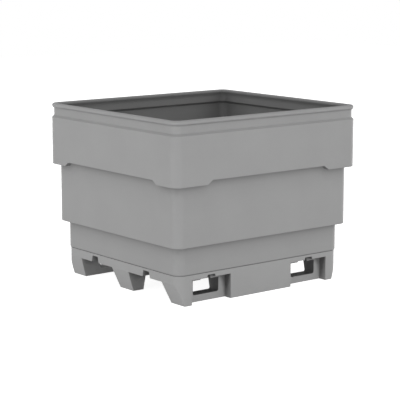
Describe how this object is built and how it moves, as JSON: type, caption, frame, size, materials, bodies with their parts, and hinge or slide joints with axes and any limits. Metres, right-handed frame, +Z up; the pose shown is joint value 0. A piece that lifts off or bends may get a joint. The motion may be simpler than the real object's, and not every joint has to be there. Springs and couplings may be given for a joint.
{
  "type": "combo bin",
  "caption": "Large open-top bulk bin: stepped tub with a wide band, round rim bead and corner lobes, bolted on a hollow pallet base with fork entry on each side.",
  "frame": {"origin": "on the ground under the middle of the bin", "axes": "+X along the long side, +Y along the short side, +Z up"},
  "size_m": [1.2192, 1.1176, 0.9398],
  "materials": {
    "tub_plastic": "fine matte moulded polyethylene, mid grey",
    "base_plastic": "fine matte moulded polyethylene, mid grey",
    "bolt_steel": "zinc plated",
    "washer_steel": "zinc plated",
    "insert_brass": "turned"
  },
  "bodies": {
    "root": {"tub": "tub_plastic", "pallet_base": "base_plastic", "bolt_1": "bolt_steel", "bolt_2": "bolt_steel", "bolt_3": "bolt_steel", "bolt_4": "bolt_steel", "bolt_5": "bolt_steel", "bolt_6": "bolt_steel", "bolt_7": "bolt_steel", "bolt_8": "bolt_steel", "bolt_9": "bolt_steel", "bolt_10": "bolt_steel", "bolt_11": "bolt_steel", "bolt_12": "bolt_steel", "washer_1": "washer_steel", "washer_2": "washer_steel", "washer_3": "washer_steel", "washer_4": "washer_steel", "washer_5": "washer_steel", "washer_6": "washer_steel", "washer_7": "washer_steel", "washer_8": "washer_steel", "washer_9": "washer_steel", "washer_10": "washer_steel", "washer_11": "washer_steel", "washer_12": "washer_steel", "insert_1": "insert_brass", "insert_2": "insert_brass", "insert_3": "insert_brass", "insert_4": "insert_brass", "insert_5": "insert_brass", "insert_6": "insert_brass", "insert_7": "insert_brass", "insert_8": "insert_brass", "insert_9": "insert_brass", "insert_10": "insert_brass", "insert_11": "insert_brass", "insert_12": "insert_brass"}
  },
  "joints": []
}
